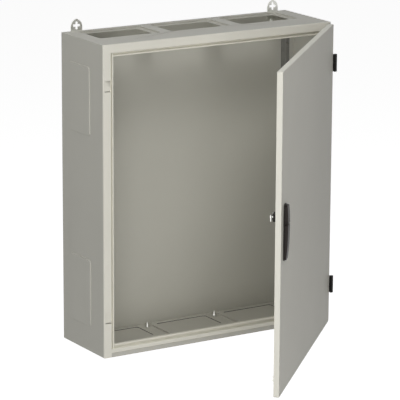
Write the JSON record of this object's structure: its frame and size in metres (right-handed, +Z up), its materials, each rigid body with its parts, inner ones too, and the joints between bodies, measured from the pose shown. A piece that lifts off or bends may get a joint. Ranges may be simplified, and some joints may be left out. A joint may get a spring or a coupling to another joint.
{
  "type": "wall-mounted sheet-steel cabinet with hinged door",
  "caption": "Shallow wall cabinet of painted sheet steel with a hinged door standing open, swivel lever latch, wall lugs and cable openings in the top.",
  "frame": {"origin": "centre of the flat back face, the face that lies against the wall", "axes": "+X to the right seen from the front (the hinge side), +Y into the wall, +Z up"},
  "size_m": [0.8108, 0.8428, 0.987],
  "materials": {
    "painted_sheet": "light grey powder coat, fine texture, satin",
    "painted_floor": "light grey powder coat, fine texture, satin",
    "zinc": "bright zinc plated",
    "steel": "galvanised, matt",
    "black_casting": "black coated zinc casting",
    "black_plastic": "black moulded, fine texture",
    "foam": "foamed in place, matt"
  },
  "bodies": {
    "cabinet": {"back_wall": "painted_sheet", "left_wall": "painted_sheet", "right_wall": "painted_sheet", "top_panel": "painted_sheet", "bottom_panel": "painted_floor", "frame_post_left": "painted_sheet", "frame_post_right": "painted_sheet", "frame_rail_top": "painted_sheet", "frame_rail_bottom": "painted_sheet", "cover_plate_left": "painted_floor", "cover_plate_middle": "painted_floor", "cover_plate_right": "painted_floor", "plate_seal_left": "foam", "plate_seal_middle": "foam", "plate_seal_right": "foam", "plate_screws": "zinc", "floor_studs": "zinc", "wall_lug_left": "zinc", "wall_lug_right": "zinc", "lug_bolts": "zinc", "rear_rail_left": "steel", "rear_rail_right": "steel", "hinge_bracket_upper": "black_casting", "hinge_bracket_lower": "black_casting", "hinge_pin_upper": "steel", "hinge_pin_lower": "steel", "hinge_bracket_screws": "zinc"},
    "door": {"door_panel": "painted_sheet", "door_stile_left": "steel", "door_stile_right": "steel", "door_rail_top": "steel", "door_rail_bottom": "steel", "door_seal": "foam", "door_guide": "zinc", "hinge_leaf_upper": "black_casting", "hinge_leaf_lower": "black_casting", "hinge_leaf_screws": "zinc", "handle_base": "black_plastic", "handle_screws": "zinc", "lock_housing": "black_plastic", "lock_screws": "zinc"},
    "latch": {"spindle": "zinc", "handle_head": "black_plastic", "pivot_pin": "steel", "lock_cam": "zinc", "cam_bolt": "steel"},
    "lever": {"handle_lever": "black_plastic"}
  },
  "joints": [
    {"name": "door_swing", "type": "hinge", "parent": "cabinet", "child": "door", "pos_m": [0.402, -0.277, 0], "axis": [0, 0, 1], "range_deg": [-45.4, 130]},
    {"name": "latch_turn", "type": "hinge", "parent": "door", "child": "latch", "pos_m": [-0.12815, -0.81175, 0.047], "axis": [0.712, -0.7022, 0], "range_deg": [0, 90]},
    {"name": "lever_lift", "type": "hinge", "parent": "latch", "child": "lever", "pos_m": [-0.12459, -0.81526, 0.034], "axis": [-0.7022, -0.712, 0], "range_deg": [0, 50]}
  ]
}
